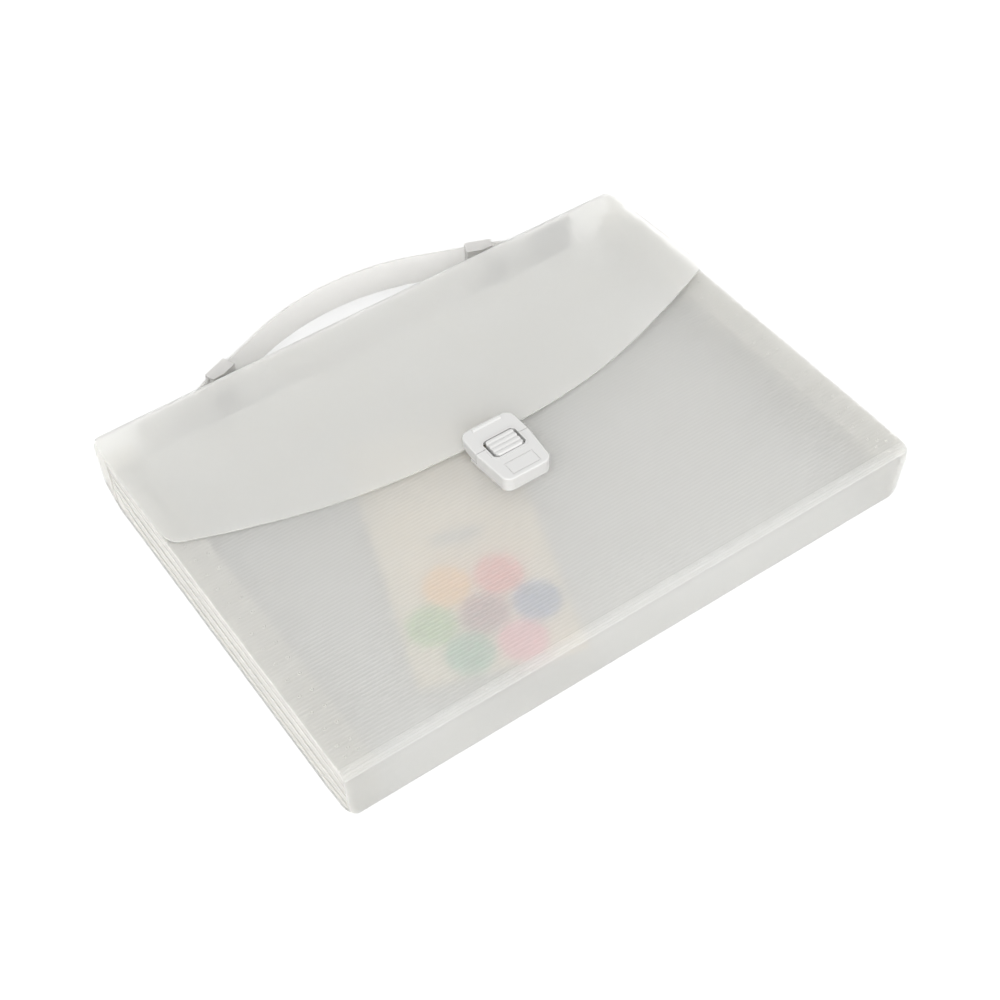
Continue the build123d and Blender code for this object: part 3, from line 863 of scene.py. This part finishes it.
def make_pleats(side, name):
    """Pleated part of a side wall in one thin sheet."""
    chain = wall_chain()
    x_range = sorted((side * WALL_INNER_X, side * WALL_OUTER_X))
    back = chain[0][1]
    front = chain[-1][1]
    low_y = BOTTOM_Y + WALL_START
    high_y = TOP_Y - WALL_STOP
    piece = new_plane(name, x_range, (low_y, high_y), back)
    edit(piece, "EDGE")
    pick(piece, "edges", lambda p: near(p.x, side * WALL_OUTER_X))
    x, z = chain[0]
    for new_x, new_z in chain[1:]:
        step = (side * (new_x - x), 0, new_z - z)
        bpy.ops.mesh.extrude_region_move(TRANSFORM_OT_translate={"value": step})
        x, z = new_x, new_z
    pick(piece, "edges", is_fold([(side * x, z) for x, z in chain[:-1]]))
    bpy.ops.mesh.bevel(offset=FOLD_BEND, segments=FOLD_STEPS, affect="EDGES")
    bpy.ops.mesh.select_mode(type="VERT")
    close_folds(piece, back, front, low_y, high_y)
    draw_wall_in(piece, side)
    close_edit()
    outward(piece)
    thicken(piece, WALL_SHEET, inward=False)
    return piece


def make_wall_end(side, name):
    """Smooth upper end of a side wall, closed against the top spine and its bend."""
    high_y = TOP_Y - SHEET - WALL_END_SHORT
    piece = new_plane(name, (SHEET, WALL_END_TOP), (TOP_Y - WALL_END_REACH, high_y), 0)
    piece.rotation_euler = (0, radians(-90), 0)
    piece.location = (side * WALL_OUTER_X, 0, 0)
    place(piece)
    edit(piece)
    for reach in WALL_END_ROWS_Y:
        cut((0, TOP_Y - reach, 0), (0, 1, 0))
    for z in WALL_END_ROWS_Z:
        cut((0, 0, z), (0, 0, 1))
    bend = FLAP_BEND - SHEET - WALL_END_CLEARANCE
    centre = Vector((side * WALL_OUTER_X, TOP_Y - FLAP_BEND, FLAP_TOP - CREASE_DROP - FLAP_BEND))
    for angle in WALL_END_TURNS:
        away = Vector((0, cos(radians(angle)), sin(radians(angle))))
        cut(centre + bend * away, away, clear_outer=True)
    verts = bmesh.from_edit_mesh(piece.data).verts
    for y, z in sorted({rounded(v.co) for v in verts}):
        inset = top_inset(TOP_Y - y, z) + bend_inset(y, z)
        draw_side_in(piece, side, lambda p: rounded(p) == (y, z), inset)
    close_edit()
    thicken(piece, WALL_SHEET, inward=False)
    return piece


def make_side_wall(side, name):
    return join([make_pleats(side, name), make_wall_end(side, name + "_end")], name)


# Strip inside the top spine


def make_stiffener():
    """Strip behind the top spine that the handle's clips are fixed through."""
    piece = new_plane("spine_stiffener", STIFFENER_X, STIFFENER_Z, 0)
    piece.rotation_euler = (radians(90), 0, 0)
    piece.location = (0, TOP_Y - SHEET - STIFFENER_SHEET / 2, 0)
    place(piece)
    edit(piece)
    bpy.ops.mesh.select_all(action="SELECT")
    bpy.ops.mesh.bevel(
        offset=STIFFENER_CORNER, segments=STIFFENER_CORNER_STEPS, affect="VERTICES"
    )
    close_edit()
    thicken(piece, STIFFENER_SHEET, inward=False)
    return piece


# Weld dots


def make_weld_dot():
    """Raised ring left by one ultrasonic weld."""
    bpy.ops.mesh.primitive_circle_add(
        vertices=DOT_SIDES, radius=DOT_RADIUS, fill_type="NGON", location=(0, 0, 0)
    )
    dot = bpy.context.object
    edit(dot, "FACE")
    bpy.ops.mesh.select_all(action="SELECT")
    bpy.ops.mesh.inset(thickness=DOT_RADIUS * DOT_RISE_SHARE)
    bpy.ops.transform.translate(value=(0, 0, DOT_HEIGHT))
    bpy.ops.mesh.inset(thickness=DOT_RADIUS * DOT_CREST_SHARE)
    bpy.ops.mesh.inset(thickness=DOT_RADIUS * DOT_FALL_SHARE)
    bpy.ops.transform.translate(value=(0, 0, -DOT_HEIGHT))
    bpy.ops.mesh.delete(type="FACE")
    close_edit()
    return dot


def make_weld_dots(side, name):
    base_z = PANEL_TOP - RIB_HEIGHT
    places = []
    for row in range(DOT_ROWS):
        y = BOTTOM_Y + DOT_FIRST_Y + row * DOT_PITCH
        places += [(DOT_OUTER_X, y), (DOT_INNER_X, y)]
    low_y = BOTTOM_Y + DOT_LOW_Y
    places += [(DOT_OUTER_X, low_y), (DOT_INNER_X, low_y)]
    places.append(((DOT_OUTER_X + DOT_INNER_X) / 2, BOTTOM_Y + DOT_MIDDLE_Y))
    first = make_weld_dot()
    dots = []
    for x, y in places:
        dot = copy_of(first, name)
        dot.location = (side * x, y, base_z)
        dots.append(dot)
    bpy.data.objects.remove(first)
    return join(dots, name)


# Card


def finish_print(piece, x, y, ink):
    """Give a flat shape its ink thickness with a soft edge and lay it on the card."""
    edit(piece, "FACE")
    bpy.ops.mesh.select_all(action="SELECT")
    bpy.ops.mesh.extrude_region_move(TRANSFORM_OT_translate={"value": (0, 0, PRINT_HEIGHT)})
    bpy.ops.mesh.inset(thickness=PRINT_EDGE)
    close_edit()
    dress(piece, ink)
    piece.location = (x, y, CARD_SHEET)
    place(piece)
    return piece


def make_disc(name, column, row, ink):
    bpy.ops.mesh.primitive_circle_add(
        vertices=DISC_SIDES, radius=DISC_RADIUS, fill_type="NGON", location=(0, 0, 0)
    )
    disc = bpy.context.object
    disc.name = name
    return finish_print(disc, column * DISC_COLUMN, DISC_FIRST_Y - row * DISC_ROW, ink)


def make_bar(name, ink):
    x_range = (-BAR_HALF_LENGTH, BAR_HALF_LENGTH)
    bar = new_plane(name, x_range, (-BAR_HALF_WIDTH, BAR_HALF_WIDTH), 0)
    edit(bar)
    bpy.ops.mesh.select_all(action="SELECT")
    bpy.ops.mesh.bevel(offset=BAR_CORNER, segments=BAR_CORNER_STEPS, affect="VERTICES")
    close_edit()
    return finish_print(bar, 0, BAR_Y, ink)


def make_card():
    """Card with a plain pattern of staggered discs and one bar."""
    x_range = (-CARD_HALF_WIDTH, CARD_HALF_WIDTH)
    card = new_plane("card_sheet", x_range, (-CARD_HALF_LENGTH, CARD_HALF_LENGTH), 0)
    edit(card, "FACE")
    bpy.ops.mesh.select_all(action="SELECT")
    bpy.ops.mesh.extrude_region_move(TRANSFORM_OT_translate={"value": (0, 0, CARD_SHEET)})
    close_edit()
    dress(card, card_stock)
    prints = [
        make_disc("card_disc_amber", -1, 0, amber_ink),
        make_disc("card_disc_coral", 1, 0, coral_ink),
        make_disc("card_disc_green", -2, 1, green_ink),
        make_disc("card_disc_plum", 0, 1, plum_ink),
        make_disc("card_disc_blue", 2, 1, blue_ink),
        make_disc("card_disc_teal", -1, 2, teal_ink),
        make_disc("card_disc_pink", 1, 2, pink_ink),
        make_bar("card_bar", grey_ink),
    ]
    card = join([card] + prints, "card_sheet")
    card.rotation_euler = (0, 0, CARD_TURN)
    card.location = (
        (CARD_LOW.x + CARD_HIGH.x) / 2,
        (CARD_LOW.y + CARD_HIGH.y) / 2,
        CARD_LOW.z,
    )
    place(card)
    return card


# Leaf spring


def make_leaf_spring():
    """Arched leaf under the button."""
    low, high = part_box("latch_spring")
    base_z = low.z + LEAF_SHEET / 2
    rise = high.z - low.z - LEAF_SHEET
    reach = high.x - LEAF_FOOT
    radius = (reach**2 + rise**2) / (2 * rise)
    swing = asin(reach / radius)
    piece = new_plane("leaf_spring", (low.y, high.y), (-high.x, -reach), base_z)
    dress(piece, steel)
    edit(piece)
    pick(piece, "edges", lambda p: near(p.y, -reach))
    points = []
    for step in range(1, LEAF_STEPS + 1):
        angle = swing * (2 * step / LEAF_STEPS - 1)
        points.append((radius * sin(angle), base_z + rise - radius * (1 - cos(angle))))
    extrude_through(points + [(high.x, base_z)], (-reach, base_z))
    close_edit()
    piece.rotation_euler = (0, 0, radians(90))
    place(piece)
    outward(piece)
    thicken(piece, LEAF_SHEET, inward=False)
    return piece


# Pieces

cover_sheet = make_cover_sheet()
flap_sheet = make_flap_sheet()
top_crease = make_top_crease()
wall_left = make_side_wall(-1, "side_wall_left")
wall_right = make_side_wall(1, "side_wall_right")
stiffener = make_stiffener()
dots_left = make_weld_dots(-1, "weld_dots_left")
dots_right = make_weld_dots(1, "weld_dots_right")
card_sheet = make_card()
leaf_spring = make_leaf_spring()

for piece in (leaf_spring, cover_sheet, flap_sheet, top_crease, stiffener):
    smooth(piece)
for piece in (wall_left, wall_right, dots_left, dots_right):
    smooth(piece)
for wall in (wall_left, wall_right):
    dress(wall, wall_tint_and_shade_plastic)
for dots in (dots_left, dots_right):
    dress(dots, cover_plastic)
dress(stiffener, stiffener_plastic)

for name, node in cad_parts.items():
    if name.startswith("divider"):
        dress(node, divider_plastic)
    elif name.startswith("latch_spring"):
        dress(node, steel)
    elif name.startswith(("latch", "hasp")):
        dress(node, latch_plastic)
    elif name == "handle_strap":
        dress(node, strap_plastic)
    elif name.startswith("handle_retainer"):
        dress(node, retainer_painted_shade_plastic)
    else:
        dress(node, clip_plastic)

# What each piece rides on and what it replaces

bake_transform(cover_sheet)
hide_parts("back_panel", "bottom_spine", "front_panel")
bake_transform(flap_sheet)
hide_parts("flap", "top_spine")
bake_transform(top_crease)
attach(stiffener, "top_spine_body")
for wall, node in ((wall_left, "bellows_left"), (wall_right, "bellows_right")):
    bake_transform(wall)
    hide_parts(node)
for dots in (dots_left, dots_right):
    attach(dots, "front_body")
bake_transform(leaf_spring)
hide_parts("latch_spring")
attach(card_sheet, "divider_4_body")
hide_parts("printed_card")

# Floor, light and camera


def math_node(tree, kind, first, second):
    """Sum, product, power or larger of two values, each a number or a node's output."""
    node = tree.nodes.new("ShaderNodeMath")
    node.operation = kind
    for number, value in enumerate((first, second)):
        if isinstance(value, float):
            node.inputs[number].default_value = value
        else:
            tree.links.new(value, node.inputs[number])
    return node.outputs[0]


def seen_directly(tree):
    """1 for the camera and for rays that a glossy or clear surface sends on, else 0."""
    rays = tree.nodes.new("ShaderNodeLightPath").outputs
    seen = math_node(tree, "MAXIMUM", rays["Is Camera Ray"], rays["Is Glossy Ray"])
    return math_node(tree, "MAXIMUM", seen, rays["Is Transmission Ray"])


def make_floor():
    """Pale floor that throws a little less light on the case than it shows."""
    bpy.ops.mesh.primitive_plane_add(size=FLOOR_SIZE, location=(0, 0, 0))
    floor = bpy.context.object
    floor.name = "floor"
    material, tree, shader = new_material("pale_floor")
    shader.inputs["Roughness"].default_value = 0.9
    shader.inputs["Specular IOR Level"].default_value = 0.0
    mix_colours(tree, shader, seen_directly(tree), FLOOR_TONE, FLOOR_TONE_SEEN)
    dress(floor, material)
    return floor


def sky_glow(tree, ray, toward, strength, sharpness):
    """Soft round glow in the sky around one direction."""
    facing = tree.nodes.new("ShaderNodeVectorMath")
    facing.operation = "DOT_PRODUCT"
    facing.inputs[1].default_value = Vector(toward).normalized()
    tree.links.new(ray, facing.inputs[0])
    lit = math_node(tree, "MAXIMUM", facing.outputs["Value"], 0.0)
    return math_node(tree, "MULTIPLY", math_node(tree, "POWER", lit, sharpness), strength)


def make_sky():
    """Soft light of a plain sky with some glows, behind a white background."""
    world = bpy.data.worlds.new("studio")
    bpy.context.scene.world = world
    world.use_nodes = True
    tree = world.node_tree
    ray = tree.nodes.new("ShaderNodeTexCoord").outputs["Generated"]
    light = SKY_LEVEL
    for toward, strength, sharpness in SKY_GLOWS:
        glow = sky_glow(tree, ray, toward, strength, sharpness)
        light = math_node(tree, "ADD", light, glow)
    level = tree.nodes.new("ShaderNodeMix")
    level.inputs["B"].default_value = 1.0
    tree.links.new(light, level.inputs["A"])
    tree.links.new(seen_directly(tree), level.inputs["Factor"])
    backdrop = tree.nodes["Background"]
    backdrop.inputs["Color"].default_value = (1, 1, 1, 1)
    tree.links.new(level.outputs["Result"], backdrop.inputs["Strength"])


floor = make_floor()
make_sky()

camera_data = bpy.data.cameras.new("camera")
camera_data.lens = CAMERA_LENS
camera_data.clip_start = CAMERA_CLIP
camera = bpy.data.objects.new("camera", camera_data)
bpy.context.scene.collection.objects.link(camera)
aim = (CAMERA_TARGET - CAMERA_PLACE).to_track_quat("-Z", "Y").to_matrix()
turn = aim @ Matrix.Rotation(CAMERA_ROLL, 3, "Z")
camera.matrix_world = Matrix.Translation(CAMERA_PLACE) @ turn.to_4x4()
bpy.context.scene.camera = camera
bpy.context.scene.view_settings.view_transform = "Standard"

# Light passes through many frosted sheets before it leaves the case
bpy.context.scene.cycles.max_bounces = 32
bpy.context.scene.cycles.diffuse_bounces = 16
bpy.context.scene.cycles.glossy_bounces = 8
bpy.context.scene.cycles.transmission_bounces = 32
bpy.context.scene.cycles.transparent_max_bounces = 32
